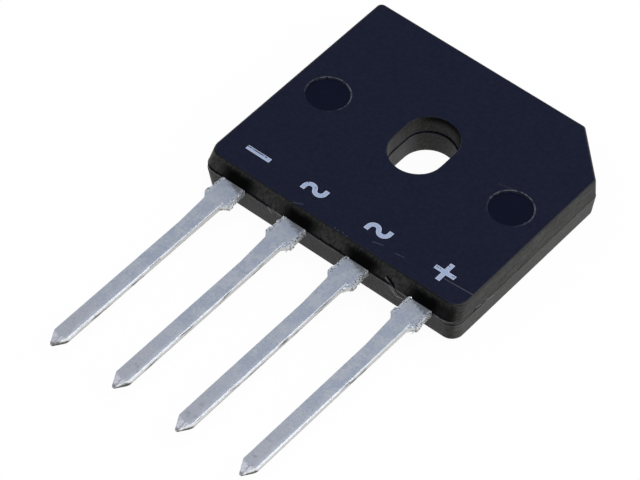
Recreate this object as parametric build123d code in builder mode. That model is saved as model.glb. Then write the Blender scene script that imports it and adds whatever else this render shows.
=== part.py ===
from build123d import *
import os
from math import radians, sqrt, tan

# Single in-line bridge rectifier: four diode chips soldered between a stamped copper
# frame and formed copper clips, moulded into one flat epoxy case with a screw slot.
# All sizes are in millimetres. The origin is the middle of the screw slot on the
# heatsink face. +X runs along the lead row towards the positive lead, +Y away from
# the leads, +Z out of the marked face. The part lies on its heatsink face.

# Moulded case
case_width = 20.7            # across the lead row, at the parting line
case_height = 18.45          # from the lead side to the far side, at their widest
case_thickness = 3.2
parting_height = 1.7         # above the heatsink face, at the lower face of the leads
slot_to_front = 10.0         # middle of the slot to the lead side
side_draft = 5.0             # degrees, on both mould halves
front_draft = 10.0           # degrees, lead side, below the upper face of the leads
front_bevel = 28.3           # degrees, lead side, above the upper face of the leads
corner_chamfer = 3.45        # cut corner that marks the positive side
front_corner_radius = 0.9
back_corner_radius = 0.4
face_edge_radius = 0.16
mould_step = 0.02            # the upper mould half is this much smaller all round

# Screw slot, formed by two core pins that meet inside the case
slot_width = 3.88            # at the marked face, without its rounded edge
slot_length = 5.32
slot_upper_draft = 1.3       # degrees
slot_lower_draft = 3.4
slot_meeting_height = 1.8    # where the two core pins meet
slot_step = 0.05             # the lower pin is this much smaller all round
slot_edge_radius = 0.05

# Round marks left by the mould's ejector pins
ejector_radius = 1.5
ejector_depth = 0.1
ejector_spacing = 15.04
ejector_y = -0.6

# Leads
lead_pitch = 5.08
lead_thickness = 0.5
lead_length = 17.4           # from the lead side to the tip
shoulder_width = 1.86
shoulder_length = 1.62
pin_root_width = 1.3         # pin width where it leaves the shoulder
pin_width = 1.15
pin_taper_end = 4.7          # from the lead side to where the pin is straight
pin_edge_radius = 0.1
tip_length = 1.0
tip_width = 0.16
tip_coin_length = 0.7
tip_coin_depth = 0.15
stub_width = 0.1             # what is left of the cut tie bar, beside the shoulder
stub_length = 0.4

# Copper frame inside the case
frame_floor = 0.65           # epoxy under the frame's pads
metal_margin = 1.0           # epoxy between the frame and the case's far wall
slot_wall = 0.75             # epoxy between the metal and the slot
metal_gap = 0.6              # epoxy between neighbouring frames
bend_start = 1.1             # inside the lead side, where the leads bend down
bend_radius = 0.3            # inside radius
riser_width = 1.3
pad_corner_radius = 0.2

# Diode chips, solder and clips
chip_size = 2.8
chip_thickness = 0.26
chip_bevel = 0.08
anode_size = 2.2
solder_thickness = 0.06
chip_edge_margin = 0.6       # from the positive pad's edge to its chips
clip_thickness = 0.3
clip_plate = 2.2
clip_width = 1.4
clip_foot = 1.1
clip_bend_radius = 0.12

# Levels and lines that follow from the sizes above
case_half = case_width / 2
case_front = -slot_to_front
case_back = case_front + case_height
tip = case_front - lead_length
lead_bottom = parting_height
lead_top = lead_bottom + lead_thickness
pad_top = frame_floor + lead_thickness
bend_drop = lead_bottom - frame_floor
frame_front = case_front + bend_start + bend_drop + lead_thickness
frame_back = case_back - metal_margin
slot_side = slot_width / 2 + slot_wall
slot_end = slot_length / 2 + slot_wall
lead_x = [(place - 1.5) * lead_pitch for place in range(4)]
frame_left = lead_x[0] - shoulder_width / 2
frame_right = lead_x[3] + shoulder_width / 2
rail_right = lead_x[0] + shoulder_width / 2
left_pad = (rail_right + metal_gap, -slot_side)
riser = (slot_side, slot_side + riser_width)
right_pad = (riser[1] + metal_gap, frame_right)
tab_right = lead_x[2] - shoulder_width / 2 - metal_gap
chip_x_left = (left_pad[0] + left_pad[1]) / 2
chip_x_right = right_pad[0] + chip_edge_margin + chip_size / 2
chip_row_front = (frame_front - slot_end) / 2
chip_row_back = (metal_gap / 2 + frame_back) / 2

os.makedirs("parts", exist_ok=True)
inner_pieces = []


def keep(piece, name):
    """Label a finished piece, write its file and note it as cast into the case."""
    piece.label = name
    export_step(piece, f"parts/{name}.step")
    inner_pieces.append(piece)


def case_outline(height, side_inset, front_inset):
    """The case's outline at one height, with its one cut corner, before rounding."""
    left = -case_half + side_inset
    right = case_half - side_inset
    front = case_front + front_inset
    back = case_back - side_inset
    cut = corner_chamfer - side_inset * (2 - sqrt(2))
    with BuildSketch(Plane.XY.offset(height)) as outline:
        with BuildLine():
            Polyline(
                (left, front),
                (right, front),
                (right, back - cut),
                (right - cut, back),
                (left, back),
                close=True,
            )
        make_face()
    return outline.sketch


def frame_area(x_span, y_span):
    """A rectangle of the copper frame, given by its limits."""
    with Locations(((x_span[0] + x_span[1]) / 2, (y_span[0] + y_span[1]) / 2)):
        Rectangle(x_span[1] - x_span[0], y_span[1] - y_span[0])


def pin_outline(x):
    """Plan of one lead: neck and shoulder, tie-bar stub, tapered pin and point."""
    half = shoulder_width / 2
    shoulder_end = case_front - shoulder_length
    stub_end = shoulder_end + stub_length
    straight = pin_width / 2
    neck_end = frame_front + pad_corner_radius
    with BuildSketch() as outline:
        with BuildLine():
            Polyline(
                (x + half, neck_end),
                (x + half, stub_end),
                (x + half + stub_width, stub_end),
                (x + half + stub_width, shoulder_end),
                (x + straight, shoulder_end),
                (x + straight, tip + tip_length),
                (x + tip_width / 2, tip),
                (x - tip_width / 2, tip),
                (x - straight, tip + tip_length),
                (x - straight, case_front - pin_taper_end),
                (x + straight - pin_root_width, shoulder_end - stub_length),
                (x - half - stub_width, shoulder_end),
                (x - half - stub_width, stub_end),
                (x - half, stub_end),
                (x - half, neck_end),
                close=True,
            )
        make_face()
    return outline.sketch


def strip_profile(plane, points, radii, thickness):
    """Side view of a formed strip: its lower line, thickened upwards."""
    with BuildSketch(plane) as profile:
        with BuildLine():
            FilletPolyline(*points, radius=radii)
            offset(amount=thickness, side=Side.LEFT)
        make_face()
    return profile.sketch


def tip_coining():
    """Side view of what coining takes off the top and the bottom of a lead's point."""
    with BuildSketch(Plane.YZ) as wedges:
        for face_z, cut_z in (
            (lead_top, lead_top - tip_coin_depth),
            (lead_bottom, lead_bottom + tip_coin_depth),
        ):
            with BuildLine():
                Polyline((tip, face_z), (tip + tip_coin_length, face_z), (tip, cut_z), close=True)
            make_face()
    return wedges.sketch


def form_lead():
    """Give the extruded plan its side view, its coined point and its eased edges."""
    side_view = strip_profile(
        Plane.YZ,
        [
            (tip, lead_bottom),
            (case_front + bend_start, lead_bottom),
            (case_front + bend_start + bend_drop, frame_floor),
            (case_back, frame_floor),
        ],
        [bend_radius, bend_radius + lead_thickness],
        lead_thickness,
    )
    extrude(side_view, amount=case_half, both=True, mode=Mode.INTERSECT)
    extrude(tip_coining(), amount=case_half, both=True, mode=Mode.SUBTRACT)
    pin_edges = (
        edges()
        .filter_by_position(Axis.Y, tip + tip_length, case_front - shoulder_length - stub_length)
        .filter_by(lambda edge: edge.length > lead_thickness * 2)
    )
    fillet(pin_edges, pin_edge_radius)


def ease_pads():
    """Round the stamped outer corners of a frame's pads, whatever the length of their sides."""
    offset(amount=-pad_corner_radius, kind=Kind.INTERSECTION)
    offset(amount=pad_corner_radius, kind=Kind.ARC)


# Negative lead: its frame is a rail along the case's side, where two clips land
with BuildPart() as lead_negative:
    with BuildSketch():
        frame_area((frame_left, rail_right), (frame_front, chip_row_back + clip_width))
        ease_pads()
        add(pin_outline(lead_x[0]))
    extrude(amount=case_thickness)
    form_lead()
keep(lead_negative.part, "lead_negative")

# Left alternating lead: the front left chip's pad, and a tab for the clip from the right
with BuildPart() as lead_ac_left:
    with BuildSketch():
        frame_area(left_pad, (frame_front, -metal_gap / 2))
        frame_area((left_pad[1], tab_right), (frame_front, -slot_end))
        ease_pads()
        add(pin_outline(lead_x[1]))
    extrude(amount=case_thickness)
    form_lead()
keep(lead_ac_left.part, "lead_ac_left")

# Right alternating lead: a riser past the slot, and the back left chip's pad
with BuildPart() as lead_ac_right:
    with BuildSketch():
        frame_area((lead_x[2] - shoulder_width / 2, riser[1]), (frame_front, -slot_end))
        frame_area(riser, (frame_front, frame_back))
        frame_area((left_pad[0], riser[1]), (slot_end, frame_back))
        frame_area(left_pad, (metal_gap / 2, frame_back))
        ease_pads()
        add(pin_outline(lead_x[2]))
    extrude(amount=case_thickness)
    form_lead()
keep(lead_ac_right.part, "lead_ac_right")

# Positive lead: one pad under both right-hand chips, cut to follow the case's corner
with BuildPart() as lead_positive:
    with BuildSketch():
        frame_area(right_pad, (frame_front, frame_back))
        add(case_outline(0, metal_margin, metal_margin), mode=Mode.INTERSECT)
        ease_pads()
        add(pin_outline(lead_x[3]))
    extrude(amount=case_thickness)
    form_lead()
keep(lead_positive.part, "lead_positive")

# Four chips, each between its die solder and its anode solder
chip_bottom = pad_top + solder_thickness
anode_bottom = chip_bottom + chip_thickness
clip_bottom = anode_bottom + solder_thickness
foot_bottom = pad_top + solder_thickness
stations = {
    "front_left": (chip_x_left, chip_row_front, (frame_left + rail_right) / 2),
    "back_left": (chip_x_left, chip_row_back, (frame_left + rail_right) / 2),
    "front_right": (chip_x_right, chip_row_front, tab_right - metal_gap / 2 - clip_foot / 2),
    "back_right": (chip_x_right, chip_row_back, (riser[0] + riser[1]) / 2),
}

for spot, (chip_x, row_y, foot_x) in stations.items():
    with BuildPart() as chip_solder:
        with BuildSketch(Plane.XY.offset(pad_top)):
            with Locations((chip_x, row_y)):
                Rectangle(chip_size, chip_size)
        extrude(amount=solder_thickness)
    keep(chip_solder.part, f"chip_solder_{spot}")

    with BuildPart() as chip:
        with BuildSketch(Plane.XY.offset(chip_bottom)):
            with Locations((chip_x, row_y)):
                Rectangle(chip_size, chip_size)
        extrude(amount=chip_thickness)
        chamfer(chip.faces().sort_by(Axis.Z)[-1].edges(), chip_bevel)
    keep(chip.part, f"diode_chip_{spot}")

    with BuildPart() as anode_solder:
        with BuildSketch(Plane.XY.offset(anode_bottom)):
            with Locations((chip_x, row_y)):
                Rectangle(anode_size, anode_size)
        extrude(amount=solder_thickness)
    keep(anode_solder.part, f"anode_solder_{spot}")

    with BuildPart() as foot_solder:
        with BuildSketch(Plane.XY.offset(pad_top)):
            with Locations((foot_x, row_y)):
                Rectangle(clip_foot, clip_width)
        extrude(amount=solder_thickness)
    keep(foot_solder.part, f"foot_solder_{spot}")

    # The clip steps down just before its foot, clear of the frame that it crosses
    foot_end = foot_x - clip_foot / 2
    step_low = foot_x + clip_foot / 2
    step_high = step_low + clip_bottom - foot_bottom
    plate_end = chip_x + clip_plate / 2
    with BuildPart() as clip:
        with BuildSketch(Plane.XY.offset(foot_bottom)):
            frame_area((foot_end, chip_x), (row_y - clip_width / 2, row_y + clip_width / 2))
            with Locations((chip_x, row_y)):
                Rectangle(clip_plate, clip_plate)
        extrude(amount=case_thickness)
        side_view = strip_profile(
            Plane.XZ.offset(-row_y),
            [
                (foot_end, foot_bottom),
                (step_low, foot_bottom),
                (step_high, clip_bottom),
                (plate_end, clip_bottom),
            ],
            [clip_bend_radius + clip_thickness, clip_bend_radius],
            clip_thickness,
        )
        extrude(side_view, amount=clip_plate, both=True, mode=Mode.INTERSECT)
    keep(clip.part, f"clip_{spot}")


def upright_edges(y_from, y_to):
    """The corner edges between the drafted sides of a mould half, within a span of Y."""
    uprights = edges().filter_by(lambda edge: abs(edge.tangent_at(0).Z) > sqrt(0.5))
    return uprights.filter_by_position(Axis.Y, y_from, y_to)


def round_corners():
    """Round a mould half's corners: less on the slot's far side, more on its lead side."""
    fillet(upright_edges(0, case_back), back_corner_radius)
    fillet(upright_edges(case_front, 0), front_corner_radius)


def slot_outline(height, inset):
    """The slot's outline at one height."""
    with BuildSketch(Plane.XY.offset(height)) as outline:
        SlotOverall(slot_length - 2 * inset, slot_width - 2 * inset, rotation=90)
    return outline.sketch


# Case: lower and upper mould halves, slot, ejector marks, and the metal cast into it.
# The lead side keeps one slope up to the leads' upper face, and is bevelled above it.
side_slope = tan(radians(side_draft))
front_slope = tan(radians(front_draft))
lead_band_inset = mould_step + lead_thickness * side_slope
marked_side_inset = mould_step + (case_thickness - parting_height) * side_slope
marked_front_inset = mould_step + (case_thickness - lead_top) * tan(radians(front_bevel))
upper_slot_inset = (case_thickness - slot_meeting_height) * tan(radians(slot_upper_draft))
lower_slot_inset = upper_slot_inset + slot_step
heatsink_slot_inset = lower_slot_inset - slot_meeting_height * tan(radians(slot_lower_draft))
with BuildPart() as lower_half:
    loft(
        [
            case_outline(0, parting_height * side_slope, lead_top * front_slope),
            case_outline(parting_height, 0, lead_thickness * front_slope),
        ],
        ruled=True,
    )
    round_corners()
    fillet(faces().sort_by(Axis.Z)[0].edges(), face_edge_radius)

with BuildPart() as lead_band:
    loft(
        [
            case_outline(parting_height, mould_step, lead_thickness * front_slope),
            case_outline(lead_top, lead_band_inset, 0),
        ],
        ruled=True,
    )
    round_corners()

with BuildPart() as upper_half:
    loft(
        [
            case_outline(lead_top, lead_band_inset, mould_step),
            case_outline(case_thickness, marked_side_inset, marked_front_inset),
        ],
        ruled=True,
    )
    round_corners()
    fillet(faces().sort_by(Axis.Z)[-1].edges(), face_edge_radius)

with BuildPart() as moulded_case:
    add(lower_half.part)
    add(lead_band.part)
    add(upper_half.part)
    loft(
        [
            slot_outline(0, heatsink_slot_inset),
            slot_outline(slot_meeting_height, lower_slot_inset),
        ],
        ruled=True,
        mode=Mode.SUBTRACT,
    )
    loft(
        [slot_outline(slot_meeting_height, upper_slot_inset), slot_outline(case_thickness, 0)],
        ruled=True,
        mode=Mode.SUBTRACT,
    )
    fillet(faces().sort_by(Axis.Z)[-1].inner_wires()[0].edges(), slot_edge_radius)

    with BuildSketch(Plane.XY.offset(case_thickness)):
        with Locations((-ejector_spacing / 2, ejector_y), (ejector_spacing / 2, ejector_y)):
            Circle(ejector_radius)
    extrude(amount=-ejector_depth, mode=Mode.SUBTRACT)

    for piece in inner_pieces:
        add(piece, mode=Mode.SUBTRACT)
moulded_case.part.label = "moulded_case"
export_step(moulded_case.part, "parts/moulded_case.step")
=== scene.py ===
from math import hypot, radians

import bmesh
import bpy
from mathutils import Matrix, Vector, noise


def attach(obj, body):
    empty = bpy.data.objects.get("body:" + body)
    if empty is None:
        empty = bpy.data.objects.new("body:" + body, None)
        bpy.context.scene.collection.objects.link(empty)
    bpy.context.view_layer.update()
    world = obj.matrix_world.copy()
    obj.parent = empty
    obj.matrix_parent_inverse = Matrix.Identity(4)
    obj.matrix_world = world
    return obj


# A single in-line bridge rectifier: four pointed tinned leads in a row, out of a flat
# black epoxy case with one cut corner, a screw slot and printed polarity signs.
# The origin is the middle of the slot on the heatsink face, +X towards the positive
# lead, +Y away from the leads, +Z out of the marked face. Sizes are in millimetres, but
# for the studio's, which are in metres.
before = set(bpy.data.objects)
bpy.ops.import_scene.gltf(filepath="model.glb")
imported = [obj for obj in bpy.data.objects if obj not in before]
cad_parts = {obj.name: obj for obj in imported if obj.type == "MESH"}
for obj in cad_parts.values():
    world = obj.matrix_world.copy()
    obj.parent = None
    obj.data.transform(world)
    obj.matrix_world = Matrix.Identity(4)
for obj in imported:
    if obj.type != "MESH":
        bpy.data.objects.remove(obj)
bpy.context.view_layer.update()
mm = 0.001


# Leads: copper strip, stamped and coined to a point, plated with matt tin and cut from
# its tie bar after moulding. The cut sides are rougher than the rolled faces, and where
# the moulding flash was trimmed the shoulders are torn and pitted.
class Shade:
    """A number that varies over a surface, for use in plain arithmetic."""

    def __init__(self, finish, socket):
        self.finish = finish
        self.socket = socket

    def maths(self, operation, *values):
        return self.finish.node("Math", {"operation": operation}, dict(enumerate(values)))

    def __add__(self, other):
        return self.maths("ADD", self, other)

    def __sub__(self, other):
        return self.maths("SUBTRACT", self, other)

    def __rsub__(self, other):
        return self.maths("SUBTRACT", other, self)

    def __mul__(self, other):
        return self.maths("MULTIPLY", self, other)

    def __abs__(self):
        return self.maths("ABSOLUTE", self)

    def __gt__(self, other):
        return self.maths("GREATER_THAN", self, other)

    def __lt__(self, other):
        return self.maths("LESS_THAN", self, other)

    def __or__(self, other):
        return self.maths("MAXIMUM", self, other)

    __radd__ = __add__
    __rmul__ = __mul__


class Finish:
    """The nodes of a material, or of the world, added one at a time."""

    def __init__(self, tree):
        self.tree = tree
        self.tree.nodes.clear()

    def node(self, kind, settings=None, sockets=None, output=0):
        """Add one node, its settings first and then its sockets, and give one of its outputs."""
        made = self.tree.nodes.new("ShaderNode" + kind)
        for name, value in (settings or {}).items():
            setattr(made, name, value)
        for name, value in (sockets or {}).items():
            if isinstance(value, Shade):
                self.tree.links.new(value.socket, made.inputs[name])
            else:
                made.inputs[name].default_value = value
        return Shade(self, made.outputs[output]) if made.outputs else None

    def place(self, scale=(1000, 1000, 1000)):
        """Where a point of the piece is, in millimetres unless another scale is given."""
        where = self.node("TexCoord", output=3)
        return self.node("VectorMath", {"operation": "MULTIPLY"}, {0: where, 1: scale})

    def split(self, vector):
        """A vector's three numbers."""
        parts = self.node("SeparateXYZ", sockets={0: vector})
        return [Shade(self, output) for output in parts.socket.node.outputs]

    def facing(self):
        """The way that the surface faces, as three numbers."""
        return self.split(self.node("TexCoord", output=1))

    def noise(self, vector, scale, detail=3.0, roughness=0.55):
        """Cloudy variation, from 0 to 1 round a half."""
        sockets = {"Vector": vector, "Scale": scale, "Detail": detail, "Roughness": roughness}
        return self.node("TexNoise", sockets=sockets)

    def rise(self, value, low, high):
        """0 at one value and 1 at the other, smooth between them."""
        sockets = {"Value": value, "From Min": low, "From Max": high}
        return self.node("MapRange", {"interpolation_type": "SMOOTHSTEP"}, sockets)

    def spot(self, x, y, middle, radius):
        """A round dot, 1 at its middle and 0 outside it."""
        across, along = x - middle[0], y - middle[1]
        return self.rise(across * across + along * along, radius * radius, radius * radius * 0.2)

    def stroke(self, x, y, start, end, width):
        """A thin straight line from one point to another."""
        length = hypot(end[0] - start[0], end[1] - start[1])
        ux, uy = (end[0] - start[0]) / length, (end[1] - start[1]) / length
        along = (x - start[0]) * ux + (y - start[1]) * uy
        off = abs((y - start[1]) * ux - (x - start[0]) * uy)
        return self.rise(off, width, width * 0.3) * (along > 0) * (along < length)

    def mix(self, factor, first, second):
        """One colour turned into another as the factor goes from 0 to 1."""
        sockets = {0: factor, 6: first, 7: second}
        return self.node("Mix", {"data_type": "RGBA"}, sockets, output=2)

    def lay(self, colour, *layers):
        """A colour with others laid over it in turn, each as far as its own factor."""
        for factor, over in layers:
            colour = self.mix(factor, colour, over)
        return colour

    def bump(self, height, distance, strength=1.0):
        """A surface raised by a height from 0 to 1 times a distance."""
        sockets = {"Height": height, "Distance": distance, "Strength": strength}
        return self.node("Bump", sockets=sockets)

    def coat(self, **sockets):
        """The closing shader, its sockets named as in the editor with underscores."""
        named = {name.replace("_", " "): value for name, value in sockets.items()}
        shader = self.node("BsdfPrincipled", sockets=named)
        self.node("OutputMaterial", sockets={0: shader})


def new_material(name):
    """A material with an empty node tree, and the finish that fills it."""
    material = bpy.data.materials.new(name)
    material.use_nodes = True
    return material, Finish(material.node_tree)


def dress(piece, material):
    """Give a piece, or a node of the frame, one material all over."""
    piece.data.materials.clear()
    piece.data.materials.append(material)


def across_lead(x):
    """How far a point is to the right of the nearest lead's middle."""
    offset = x - lead_pitch / 2
    return offset.maths("WRAP", offset, lead_pitch / 2, -lead_pitch / 2)


lead_pitch = 5.08
case_front = -10.0
lead_top = 2.2
lead_bottom = 1.7
lead_length = 17.4
shoulder_length = 1.62
coined_length = 0.95
blunt_length = 0.22
tin_pale = (0.72, 0.75, 0.77, 1)
tin_blue = (0.60, 0.65, 0.72, 1)
tin_neutral = (0.66, 0.67, 0.69, 1)
tin_cut = (0.54, 0.54, 0.52, 1)
coined_and_lit_tin = (0.88, 0.88, 0.89, 1)
tin_glint = (0.93, 0.96, 1.0, 1)
tin_dark = (0.030, 0.030, 0.030, 1)

tin_plate, tin = new_material("matt_tin_plate")
where = tin.place()
x, y, z = tin.split(where)
nx, ny, nz = tin.facing()
across = across_lead(x)
out = case_front - y
cloud = tin.noise(where, 0.9, detail=4)
stains = tin.noise(where, 1.9, detail=4, roughness=0.65)
mottle = tin.noise(where, 4.5, detail=4, roughness=0.75)
grain = tin.noise(where, 13.0, detail=3, roughness=0.7)
drawn = tin.noise(tin.place((7000, 1200, 7000)), 1.0, detail=4)
scored = tin.noise(tin.place((2500, 600, 3000)), 1.0, detail=3)

# The cut sides: painted highlight on the upper edge, dark scores, painted shade below.
cut_side = tin.rise(abs(nx), 0.6, 0.9)
edge_line = tin.rise(nx, 0.12, 0.3) * tin.rise(nx, 0.93, 0.75) * tin.rise(nz, 0.1, 0.4)
lit_height = z + (mottle - 0.5) * 0.2 + out * 0.012
lit_flank = cut_side * tin.rise(lit_height, lead_top - 0.08, lead_top + 0.02)
streaks = tin.rise(scored, 0.56, 0.66) * cut_side
edge_rise = tin.rise(out, 1.8, 1.6) * tin.rise(mottle, 0.4, 0.6) * 0.2
edge_rise = edge_rise + tin.rise(out, 16.2, 16.6) * 0.12
under_edge = z - edge_rise + (mottle - 0.5) * 0.3
under_edge = tin.rise(under_edge, lead_bottom + 0.13, lead_bottom + 0.05) * cut_side

# The point: coined facets that meet in a ridge, lighter by burnish and painted highlight,
# with painted shade along the ridge and coin line, and a dark blunt end.
coined_from = lead_length - coined_length
coined = tin.rise(out, coined_from, coined_from + 0.25) * (1 - cut_side)
point_end = tin.rise(out, lead_length - blunt_length, lead_length - 0.04)
ridge = tin.rise(abs(across - 0.10), 0.07, 0.02) * 0.45
coin_start = tin.rise(abs(out - lead_length + 0.78 + abs(across) * 0.5), 0.09, 0.02) * 0.35
coin_creases = (ridge | coin_start) * coined | tin.rise(mottle, 0.50, 0.60) * coined * 0.22

# The shoulders: torn edges with painted glints, darker stub ends, and painted shade at the roots
# by the case.
torn = tin.rise(abs(across), 0.62, 0.88) * tin.rise(out, 1.8, 1.5)
torn_spots = tin.rise(tin.noise(where, 8.0, detail=3), 0.52, 0.60) * torn
torn_glints = tin.rise(tin.noise(where, 10.0, detail=2), 0.60, 0.52) * torn
stub_face = tin.rise(ny * -1, 0.7, 0.9) * tin.rise(out, 2.0, 1.8) * tin.rise(mottle, 0.40, 0.55)
# Painted shade on each root next to the case.
root = tin.rise(out + (mottle - 0.5) * 0.8 - across * 0.35, 0.42, 0.05)

pits = tin.rise(grain, 0.68, 0.76)
rolled = tin.rise(cloud * 0.8 + drawn * 0.3 + mottle * 0.3, 0.60, 0.82)
# A painted highlight over the right part of the tops towards the tips, by the rounded edge.
right_sheen = tin.rise(across + (drawn - 0.5) * 0.5, 0.18, 0.5) * tin.rise(out, 6.0, 15.0)
tip_stains = tin.rise(stains, 0.56, 0.66) * tin.rise(out, 13.0, 16.0)
# The painted highlight of the rounded upper edges and the flanks under them.
shine = (edge_line * 0.8 | lit_flank * 0.7) * (1 - coined) * tin.rise(mottle, 0.34, 0.54)
colour = tin.lay(
    tin.mix(rolled, tin_blue, tin_pale),
    (tin.rise(mottle, 0.56, 0.40) * 0.05, tin_dark),
    (tin.rise(out, 9.0, 15.5) * 0.8, tin_neutral),
    (right_sheen * 0.45, tin_glint),
    (tip_stains * 0.25, tin_dark),
    (cut_side * 0.9, tin_cut),
    (coined * 0.9, coined_and_lit_tin),
    (shine * tin.rise(out, 0.0, 9.0), tin_glint),
    (coin_creases * tin.rise(mottle, 0.35, 0.55), tin_dark),
    (pits * 0.5, tin_dark),
    (root * 0.6, tin_dark),
    (streaks * 0.75, tin_dark),
    (under_edge * 0.85, tin_dark),
    (torn_glints * 0.7, tin_glint),
    (torn_spots * 0.75 | stub_face * 0.7, tin_dark),
    (point_end * 0.6, tin_dark),
)
relief = drawn * 0.3 + mottle * 0.35 + grain * 0.35 - torn_spots * 1.4
tin.coat(
    Base_Color=colour,
    Metallic=0.8,
    Roughness=0.46 + (mottle - 0.5) * 0.14 - edge_line * 0.12,
    Normal=tin.bump(relief, 0.016 * mm, 0.9),
)
lead_names = ("lead_negative", "lead_ac_left", "lead_ac_right", "lead_positive")
for name in lead_names:
    dress(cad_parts[name], tin_plate)


# Burrs and webs: tin, copper and flash that were pushed out along the shoulders when the
# tie bar was cut and the case trimmed. A burr is a ragged ridge on a shoulder's edge, on
# two leads with a thin spike, and a torn web joins each right shoulder to its pin.
def finish_mesh(bm, name, material):
    """Turn a finished shape into a piece of the rectifier that rides with it."""
    bmesh.ops.recalc_face_normals(bm, faces=bm.faces)
    mesh = bpy.data.meshes.new(name)
    bm.to_mesh(mesh)
    bm.free()
    piece = bpy.data.objects.new(name, mesh)
    bpy.context.scene.collection.objects.link(piece)
    dress(piece, material)
    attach(piece, "root")
    return piece


torn_tin, burr = new_material("torn_tin")
where = burr.place()
crumbs = burr.noise(where, 6.5, detail=3, roughness=0.7)
burr.coat(
    Base_Color=burr.lay(
        burr.mix(burr.rise(crumbs, 0.40, 0.52), tin_glint, tin_cut),
        (burr.rise(crumbs, 0.52, 0.58) * 0.95, tin_dark),
    ),
    Metallic=0.8,
    Roughness=0.35 + crumbs * 0.3,
    Normal=burr.bump(burr.noise(where, 16.0, detail=3), 0.03 * mm),
)


# Without a seed the noise would start from the clock and tear each run differently.
noise.seed_set(1)


def ragged_ridge(name, corner, runs, raggedness, seed, lean=0.0, material=torn_tin):
    """Slim boxes near a corner, cut up and torn by a fixed noise, as one piece.

    Each run is a box's lowest and highest point from the corner, and how much the box
    narrows across and in height towards its outer end. A lean moves that end aside.
    """
    bm = bmesh.new()
    for low, high, (narrowing, flattening) in runs:
        low, high = (corner + Vector(low)) * mm, (corner + Vector(high)) * mm
        made = bmesh.ops.create_cube(bm, size=1.0)["verts"]
        outer = [vert for vert in made if vert.co.y < 0]
        bmesh.ops.scale(bm, vec=(narrowing, 1, flattening), verts=outer)
        bmesh.ops.translate(bm, vec=(lean, 0, 0), verts=outer)
        bmesh.ops.scale(bm, vec=high - low, verts=made)
        bmesh.ops.translate(bm, vec=(low + high) / 2, verts=made)
    bmesh.ops.subdivide_edges(bm, edges=bm.edges, cuts=9, use_grid_fill=True)
    for vert in bm.verts:
        spot = vert.co / mm * 6.0 + Vector((seed, seed * 1.7, -seed))
        vert.co += noise.noise_vector(spot) * raggedness * mm
    return finish_mesh(bm, name, material)


shoulder_half = 0.93
right_burr = (
    ((-0.05, 0.30, 0.36), (0.01, 1.57, 0.51), (1.0, 1.0)),
    ((0.00, 0.05, 0.02), (0.04, 0.75, 0.16), (0.7, 0.7)),
    ((-0.20, -0.10, 0.00), (0.02, 0.05, 0.10), (0.6, 0.6)),
)
spike = ((-0.10, -0.34, 0.02), (-0.02, 0.05, 0.10), (0.12, 0.12))
left_burr = (
    ((-0.12, -0.02, 0.12), (-0.02, 0.42, 0.48), (0.8, 0.8)),
    ((-0.03, 0.40, 0.20), (0.03, 1.42, 0.50), (1.0, 1.0)),
    ((0.05, 1.50, 0.44), (0.28, 1.65, 0.54), (0.8, 0.8)),
)
for number, name in enumerate(lead_names):
    middle = (number - 1.5) * lead_pitch
    stub_end = case_front - shoulder_length
    right = Vector((middle + shoulder_half, stub_end, lead_bottom))
    left = Vector((middle - shoulder_half, stub_end, lead_bottom))
    web_reach = 0.45 + 0.12 * (number % 3)
    web = ((-0.37, -web_reach, 0.06), (0.05, 0.06, 0.49), (0.1, 0.7))
    runs = right_burr + (spike,) * (number % 2)
    ragged_ridge(f"burr_{name}_right", right, runs, 0.05, number * 3.1)
    ragged_ridge(f"web_{name}", right, (web,), 0.03, number * 2.3, -0.45, tin_plate)
    ragged_ridge(f"burr_{name}_left", left, left_burr, 0.06, number * 5.3 + 1)


# Chips, solder and clips: the four sawn silicon diodes, the high-lead solder that holds
# them and the bare copper clips across them, all sealed inside the case.
def spotted_finish(name, colours, scale, metallic, roughness):
    """A plain finish clouded between two colours."""
    material, finish = new_material(name)
    cloud = finish.noise(finish.place(), scale)
    finish.coat(
        Base_Color=finish.mix(finish.rise(cloud, 0.35, 0.65), *colours),
        Metallic=metallic,
        Roughness=roughness + (cloud - 0.5) * 0.2,
        Normal=finish.bump(finish.noise(finish.place(), scale * 6), 0.004 * mm),
    )
    return material


silicon_greys = ((0.12, 0.13, 0.16, 1), (0.20, 0.21, 0.24, 1))
solder_greys = ((0.42, 0.42, 0.44, 1), (0.56, 0.56, 0.57, 1))
copper_reds = ((0.72, 0.36, 0.23, 1), (0.82, 0.46, 0.31, 1))
sawn_silicon = spotted_finish("sawn_silicon", silicon_greys, 3.0, 0.6, 0.3)
dull_solder = spotted_finish("dull_solder", solder_greys, 4.0, 1.0, 0.45)
bare_copper = spotted_finish("bare_copper", copper_reds, 2.0, 1.0, 0.35)
for name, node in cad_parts.items():
    if name.startswith("diode_chip"):
        dress(node, sawn_silicon)
    elif "solder" in name:
        dress(node, dull_solder)
    elif name.startswith("clip"):
        dress(node, bare_copper)


# Case: filled black epoxy, transfer moulded round the frame in one shot. The marked face
# is a fine satin with a blue cast, the drafted sides are browner and scored by the mould,
# and both tints are partly painted reflection colour; the lead side has painted shade
# behind the leads and a dark, chipped parting line.
side_line = 1.7
slot_meeting_height = 1.8
slot_reach = (2.3, 3.1)
ejector_spacing = 15.04
ejector_y = -0.6
ejector_radius = 1.5
# The face's blue and the sides' olive are painted reflection tint on one black epoxy.
face_black = (0.0028, 0.0045, 0.0180, 1)
side_black = (0.0030, 0.0029, 0.0026, 1)
olive_black = (0.0045, 0.0043, 0.0030, 1)
mark_black = (0.0012, 0.0020, 0.0100, 1)
seam_and_shade_black = (0.0015, 0.0015, 0.0015, 1)
filler_and_light_grey = (0.130, 0.130, 0.128, 1)
scratch_and_highlight_grey = (0.260, 0.280, 0.320, 1)
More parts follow.
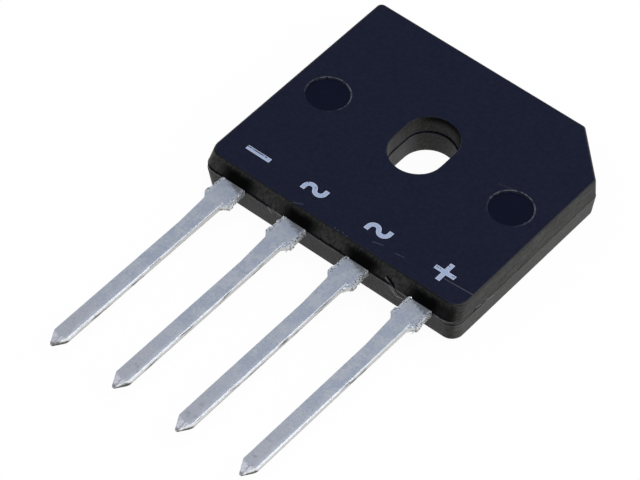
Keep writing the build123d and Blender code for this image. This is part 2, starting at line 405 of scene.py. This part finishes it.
# Scratches and cracks from one point to another, and how deep each scratch is: in x and y
# on the marked face, x and z on the lead side, y and z on the right side.
face_scratches = (
    ((-3.43, -9.50), (-2.60, -9.08), 0.30),
    ((2.62, -8.64), (3.37, -8.41), 0.35),
    ((4.31, -8.43), (5.01, -8.34), 0.25),
    ((7.94, -8.05), (10.1, -7.90), 0.45),
    ((5.6, 0.55), (6.8, 0.80), 0.12),
)
face_dots = ((0.16, -9.30), (0.42, -9.36), (0.80, -9.27), (1.15, -9.33), (8.88, -0.94))
lead_side_scratches = (
    ((-4.93, 2.25), (-4.68, 1.94), 0.75),
    ((-4.68, 1.94), (-4.50, 1.64), 0.95),
    ((-4.41, 2.18), (-3.67, 2.03), 0.45),
    ((4.70, 2.45), (5.14, 2.22), 0.45),
    ((5.14, 2.22), (5.32, 1.71), 0.45),
    ((5.32, 1.71), (5.65, 1.33), 0.75),
    ((5.65, 1.33), (6.23, 1.51), 0.95),
    ((8.89, 2.10), (10.04, 2.06), 0.35),
)
lead_side_cracks = (
    ((-5.75, 2.10), (-5.16, 2.14)),
    ((-5.16, 2.14), (-4.80, 2.00)),
    ((4.77, 2.55), (5.20, 2.42)),
    ((5.20, 2.42), (5.53, 2.23)),
    ((5.53, 2.23), (5.73, 1.86)),
    ((5.73, 1.86), (6.32, 1.72)),
)
flake_middle = (5.45, 1.85)
right_side_scratches = (((-7.73, 1.93), (-7.14, 1.77)), ((-6.69, 1.79), (-5.82, 1.50)))
right_side_cracks = (((-8.02, 1.77), (-7.73, 1.86)), ((-7.73, 1.86), (-7.14, 1.68)))

moulded_epoxy, epoxy = new_material("moulded_epoxy")
where = epoxy.place()
x, y, z = epoxy.split(where)
ny, nz = epoxy.facing()[1:]
cloud = epoxy.noise(where, 0.5, detail=4)
mottle = epoxy.noise(where, 3.5, detail=4, roughness=0.7)
grain = epoxy.noise(where, 11.0, detail=3, roughness=0.65)
upright = epoxy.noise(epoxy.place((6500, 6500, 700)), 1.0, detail=3)
lengthwise = epoxy.noise(epoxy.place((3000, 900, 9000)), 1.0, detail=3)
on_face = epoxy.rise(nz, 0.9, 0.99)
on_side = epoxy.rise(abs(nz), 0.85, 0.6)
in_slot = (abs(x) < slot_reach[0]) * (abs(y) < slot_reach[1]) * on_side
lead_side = epoxy.rise(ny * -1, 0.55, 0.8) * on_side * (1 - in_slot)
other_side = on_side * (1 - lead_side) * (1 - in_slot)
right_side = other_side * (x > 9)
specks = epoxy.rise(epoxy.noise(where, 10.0, detail=2) + on_side * 0.04, 0.70, 0.75)

# The ejector marks: smooth and dark, with a painted highlight on the far side of the rim.
aside = abs(x) - ejector_spacing / 2
beyond = y - ejector_y
squared = aside * aside + beyond * beyond
from_mark = squared.maths("SQRT", squared)
in_mark = (from_mark < ejector_radius - 0.02) * on_face
rim = epoxy.rise(abs(from_mark - ejector_radius - 0.03 + (grain - 0.5) * 0.08), 0.08, 0.02)
rim = rim * epoxy.rise(y, ejector_y - ejector_radius, ejector_y + 0.6)
rim = rim * epoxy.rise(mottle, 0.36, 0.60) * epoxy.rise(nz, 0.5, 0.9)

# The lead side: painted shade on the bevel behind each lead and out to the right
# corner, the parting line with its faded stretches, and a flake.
across = across_lead(x)
bevel_shade = epoxy.rise(abs(across - 0.25), 1.9, 0.6) | epoxy.rise(x, 7.6, 8.4) * 0.7
bevel_shade = bevel_shade * epoxy.rise(z, lead_top - 0.1, lead_top)
bevel_shade = bevel_shade * epoxy.rise(z + (mottle - 0.5) * 0.5, 3.3, 2.7)
bevel_shade = bevel_shade * epoxy.rise(ny * -1, 0.45, 0.75) * epoxy.rise(y, -8.9, -9.2)
faded = epoxy.rise(abs(x + 4.1), 0.75, 0.5) * 0.7 | epoxy.rise(abs(x - 5.85), 0.75, 0.55)
seam = epoxy.rise(abs(z - lead_top - (mottle - 0.5) * 0.25), 0.13, 0.05)
seam = seam * lead_side * (1 - faded)
below_seam = epoxy.rise(abs(z - lead_top + 0.19 - (mottle - 0.5) * 0.2), 0.07, 0.01)
below_seam = below_seam * lead_side
flake = epoxy.spot(x, z, flake_middle, 0.42) * lead_side * epoxy.rise(grain, 0.42, 0.60)

# The slot: dark under its upper rim, with the core pins' meeting line half way down.
slot_shade = epoxy.rise(z + (mottle - 0.5) * 0.5, 2.5, 3.1) * 0.85
slot_shade = slot_shade | epoxy.rise(x, 0.4, 1.7) * (z > slot_meeting_height) * 0.7
slot_shade = slot_shade * in_slot * epoxy.rise(x, -1.9, -1.0)
slot_glow = epoxy.rise(x, 1.0, 1.6) * (z < 1.3) * 0.25 | epoxy.rise(x, -1.5, -1.9) * 0.15
slot_edge = epoxy.rise(z, 0.35, 0.1) * epoxy.rise(grain, 0.5, 0.6) * 0.5
slot_line = abs(z - slot_meeting_height + x * 0.03 + (grain - 0.5) * 0.06)
slot_seam = in_slot * epoxy.rise(slot_line, 0.14 + x * 0.05, 0.04 + x * 0.01)

# The other sides: their parting line, painted light on its ledge against the ledge's
# own dark shading, and the eased edge of the face.
flash = other_side * epoxy.rise(abs(z - side_line + 0.06 - (mottle - 0.5) * 0.12), 0.09, 0.01)
lit_ledge = (nz > 0.5) * epoxy.rise(abs(z - side_line), 0.06, 0.03)
eased = epoxy.rise(nz, 0.995, 0.93) * epoxy.rise(nz, 0.2, 0.5) * (z > 3.0)
eased = eased * (1 - epoxy.rise(ny * -1, 0.1, 0.4))

lines = flake * 0.35
wavy = y + (grain - 0.5) * 0.04
for start, end, depth in face_scratches:
    lines = lines | epoxy.stroke(x, wavy, start, end, 0.03) * on_face * depth
for middle in face_dots:
    lines = lines | epoxy.spot(x, y, middle, 0.05) * on_face * 0.35
for start, end in right_side_scratches:
    lines = lines | epoxy.stroke(y, z, start, end, 0.05) * right_side * 0.8
wavy = z + (grain - 0.5) * 0.16
for start, end, depth in lead_side_scratches:
    lines = lines | epoxy.stroke(x, wavy, start, end, 0.075) * lead_side * depth
cracks = 0
for start, end in lead_side_cracks:
    cracks = epoxy.stroke(x, wavy, start, end, 0.09) * lead_side | cracks
for start, end in right_side_cracks:
    cracks = epoxy.stroke(y, z, start, end, 0.06) * right_side | cracks

darkened = bevel_shade | seam | slot_seam | cracks | slot_shade
colour = epoxy.lay(
    epoxy.mix(on_face, side_black, face_black),
    (other_side | in_slot * 0.4, olive_black),
    (in_mark * 0.9, mark_black),
    (epoxy.rise(mottle, 0.36, 0.66) * (other_side * 0.08 | in_slot * 0.10), filler_and_light_grey),
    (epoxy.rise(lengthwise, 0.36, 0.68) * other_side * 0.18, filler_and_light_grey),
    (epoxy.rise(grain, 0.50, 0.66) * in_slot * 0.14, filler_and_light_grey),
    (epoxy.rise(upright, 0.30, 0.75) * lead_side * (0.10 + (z > lead_top) * 0.08), filler_and_light_grey),
    (epoxy.rise(mottle, 0.38, 0.62) * (on_face - in_mark) * 0.02, filler_and_light_grey),
    (specks * (0.10 + on_side * 0.5 - lead_side * 0.35), filler_and_light_grey),
    (below_seam * 0.4, filler_and_light_grey),
    (flash * 0.2 | (slot_glow | slot_edge) * in_slot | eased * 0.2 | lit_ledge * 0.5, filler_and_light_grey),
    (lines * 0.6 | rim * 0.3, scratch_and_highlight_grey),
    (darkened, seam_and_shade_black),
)
relief = grain * (0.5 + on_side) + mottle * on_side * 2.5 + upright * lead_side * 2.0
# Metallic on a black base dims the gloss: on seams and cracks, and as painted shade behind the
# leads, in the slot and low on the lead side.
matt = bevel_shade * 0.8 | seam * 0.6 | slot_seam | cracks | slot_shade | in_slot * 0.2
epoxy.coat(
    Base_Color=colour,
    Metallic=matt | lead_side * (z < lead_top) * 0.8,
    Roughness=0.5 - on_face * 0.08 + (cloud - 0.5) * 0.1 - in_mark * 0.14 + darkened * 0.35,
    Specular_IOR_Level=0.2,
    Normal=epoxy.bump(relief + lines - cracks * 3.0, 0.012 * mm, 0.8),
)
dress(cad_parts["moulded_case"], moulded_epoxy)


# Polarity signs: one thin coat of pale blue ink, pad printed on the marked face beside
# each lead. A row of dashes is worn through along the bar of the minus, a few chips are
# out of the others, and the rims are paler.
case_thickness = 3.2
ink_thickness = 0.012
ink_sink = 0.004
rim_width = 0.07
stroke_width = 0.33
sign_row = -7.645
ink_blue = (0.27, 0.335, 0.49, 1)
ink_pale = (0.44, 0.49, 0.60, 1)
worn_row = -7.56
minus_end = -6.7
ink_chips = (
    (-2.90, -7.485),
    (-3.55, -7.42),
    (6.99, -7.54),
    (7.10, -7.56),
    (7.25, -7.55),
    (7.56, -7.02),
    (8.23, -7.57),
    (8.35, -7.55),
)

pale_ink, ink = new_material("pale_ink")
where = ink.place()
x, y = ink.split(where)[:2]
cloud = ink.noise(where, 4.0, detail=3)
rim = ink.node("Attribute", {"attribute_name": "rim"}, output=2)
dashes = ink.rise(ink.noise(ink.place((4200, 700, 1)), 1.0, detail=1), 0.40, 0.48)
worn = ink.rise(abs(y - worn_row), 0.06, 0.03) * dashes * (x < minus_end)
for middle in ink_chips:
    worn = worn | ink.spot(x, y, middle, 0.055)
worn = worn | ink.rise(ink.noise(where, 8.0, detail=2), 0.70, 0.75)
colour = ink.mix(ink.rise(rim + (cloud - 0.5), 0.2, 0.9), ink_blue, ink_pale)
ink.coat(
    Base_Color=ink.mix(worn * 0.92, colour, face_black),
    Roughness=0.6 + (cloud - 0.5) * 0.2,
    Specular_IOR_Level=0.28,
    Normal=ink.bump(cloud, 0.006 * mm, 0.8),
)


def parts_of(geometry):
    """The verts and the edges of what an operator made."""
    verts = [part for part in geometry if isinstance(part, bmesh.types.BMVert)]
    return verts, [part for part in geometry if isinstance(part, bmesh.types.BMEdge)]


def draw_out(bm, edges, shift):
    """Draw edges out into a strip, and give the verts and edges of that strip."""
    verts, edges = parts_of(bmesh.ops.extrude_edge_only(bm, edges=edges)["geom"])
    bmesh.ops.translate(bm, vec=shift, verts=verts)
    return verts, edges


def print_sign(bm, name, middle):
    """Thicken a flat sign into ink on the marked face, its rim marked for the finish."""
    bmesh.ops.remove_doubles(bm, verts=bm.verts, dist=0.01)
    bmesh.ops.recalc_face_normals(bm, faces=bm.faces)
    bmesh.ops.inset_region(
        bm, faces=bm.faces, thickness=rim_width, use_boundary=True, use_even_offset=True
    )
    rim = bm.verts.layers.float.new("rim")
    for vert in bm.verts:
        vert[rim] = float(vert.is_boundary)
    raised = parts_of(bmesh.ops.extrude_face_region(bm, geom=list(bm.faces))["geom"])[0]
    bmesh.ops.translate(bm, vec=(0, 0, ink_thickness), verts=raised)
    bmesh.ops.translate(bm, vec=(*middle, case_thickness - ink_sink), verts=bm.verts)
    bmesh.ops.scale(bm, vec=(mm, mm, mm), verts=bm.verts)
    return finish_mesh(bm, name, pale_ink)


def bar(bm, width, height):
    """A flat bar round the middle."""
    made = bmesh.ops.create_grid(bm, x_segments=1, y_segments=1, size=0.5)
    bmesh.ops.scale(bm, vec=(width, height, 1), verts=made["verts"])


bm = bmesh.new()
bar(bm, 1.91, stroke_width + 0.02)
print_sign(bm, "sign_negative", (-7.52, sign_row))

wave_half = 0.735
wave_radius = 0.38
wave_centre = (wave_half - wave_radius, 0.136)
wave_end = 0.425
wave_turn = radians(159)
end_run = (0, wave_end - wave_centre[1], 0)
for name, middle in (("sign_ac_left", -2.845), ("sign_ac_right", 2.375)):
    bm = bmesh.new()
    start = [(side * stroke_width / 2 - wave_half, -wave_end, 0) for side in (-1, 1)]
    start = bm.edges.new([bm.verts.new(end) for end in start])
    verts, edges = draw_out(bm, [start], end_run)
    for turn in (1, -1):
        edges = [edge for edge in edges if all(vert in verts for vert in edge.verts)]
        centre = (-turn * wave_centre[0], -turn * wave_centre[1], 0)
        spun = bmesh.ops.spin(
            bm, geom=edges, cent=centre, axis=(0, 0, -turn), angle=wave_turn, steps=14
        )
        verts, edges = parts_of(spun["geom_last"])
    draw_out(bm, edges, end_run)
    print_sign(bm, name, (middle, sign_row))

bm = bmesh.new()
bar(bm, stroke_width, stroke_width)
for direction, reach in {(1, 0): 0.79, (-1, 0): 0.79, (0, 1): 0.81, (0, -1): 0.81}.items():
    heading = Vector((*direction, 0))
    edges = [
        edge
        for edge in bm.edges
        if edge.is_boundary
        and (edge.verts[0].co + edge.verts[1].co).dot(heading) > stroke_width * 0.9
    ]
    draw_out(bm, edges[:1], heading * (reach - stroke_width / 2))
print_sign(bm, "sign_positive", (7.66, -7.6))


# Studio: a white table that keeps a faint soft shadow, a pale wall round it under a dim
# blue ceiling, and two large soft lamps, high on the right of the marked face.
table_white = (0.86, 0.86, 0.87, 1)
backdrop_white = (1.0, 1.0, 1.0, 1)
ceiling_blue = (0.16, 0.19, 0.28, 1)
room_light = (0.66, 0.66, 0.67, 1)
bm = bmesh.new()
bmesh.ops.create_grid(bm, x_segments=1, y_segments=1, size=1.5)
bmesh.ops.translate(bm, vec=(0, 0, -0.02 * mm), verts=bm.verts)
mesh = bpy.data.meshes.new("table")
bm.to_mesh(mesh)
bm.free()
table = bpy.data.objects.new("table", mesh)
bpy.context.scene.collection.objects.link(table)


def seen_rays(finish):
    """1 for rays from the camera and for those that gloss and glass send on."""
    rays = finish.node("LightPath").socket.node.outputs
    camera = Shade(finish, rays["Is Camera Ray"])
    glossy = Shade(finish, rays["Is Glossy Ray"])
    through = Shade(finish, rays["Is Transmission Ray"])
    return camera | glossy | through


table_material, cloth = new_material("white_table")
lit = cloth.node("BsdfDiffuse", sockets={"Color": table_white})
glow = cloth.node("Emission", sockets={"Color": backdrop_white, "Strength": 1.0})
cover = cloth.node("MixShader", sockets={0: seen_rays(cloth) * 0.95, 1: lit, 2: glow})
cloth.node("OutputMaterial", sockets={0: cover})
dress(table, table_material)

world = bpy.data.worlds.new("studio")
world.use_nodes = True
bpy.context.scene.world = world
air = Finish(world.node_tree)
up = air.split(air.node("TexCoord", output=0))[2]
shown = air.mix(air.rise(up, 0.20, 0.50), backdrop_white, ceiling_blue)
glow = air.mix(seen_rays(air), room_light, shown)
surround = air.node("Background", sockets={"Color": glow, "Strength": 1.0})
air.node("OutputWorld", sockets={0: surround})


def soft_lamp(name, place, aim, width, power):
    """A large square lamp, turned towards a point."""
    light = bpy.data.lights.new(name, "AREA")
    light.size = width
    light.energy = power
    lamp = bpy.data.objects.new(name, light)
    lamp.location = place
    heading = Vector(aim) - Vector(place)
    lamp.rotation_euler = heading.to_track_quat("-Z", "Y").to_euler()
    bpy.context.scene.collection.objects.link(lamp)


lead_row = (0, -0.008, 0)
soft_lamp("key_lamp", (0.12, -0.05, 0.42), lead_row, 0.30, 0.9)
soft_lamp("fill_lamp", (0.34, 0.12, 0.28), lead_row, 0.30, 0.4)


# Camera: a long lens from the lead side's right, high over the marked face, in the place
# and turn that were solved from the edges traced in the photo.
camera_place = (88.1537, -129.5543, 173.3848)
azimuth, elevation, roll = radians(36.5414), radians(49.0031), radians(3.6346)
camera_data = bpy.data.cameras.new("camera")
camera_data.lens = 201.49
camera_data.sensor_width = 36.0
camera_data.clip_start = 0.01
camera = bpy.data.objects.new("camera", camera_data)
turned = Matrix.Rotation(azimuth, 4, "Z") @ Matrix.Rotation(radians(90) - elevation, 4, "X")
turned = turned @ Matrix.Rotation(roll, 4, "Z")
camera.matrix_world = Matrix.Translation(Vector(camera_place) * mm) @ turned
bpy.context.scene.collection.objects.link(camera)
bpy.context.scene.camera = camera
bpy.context.scene.view_settings.view_transform = "Standard"
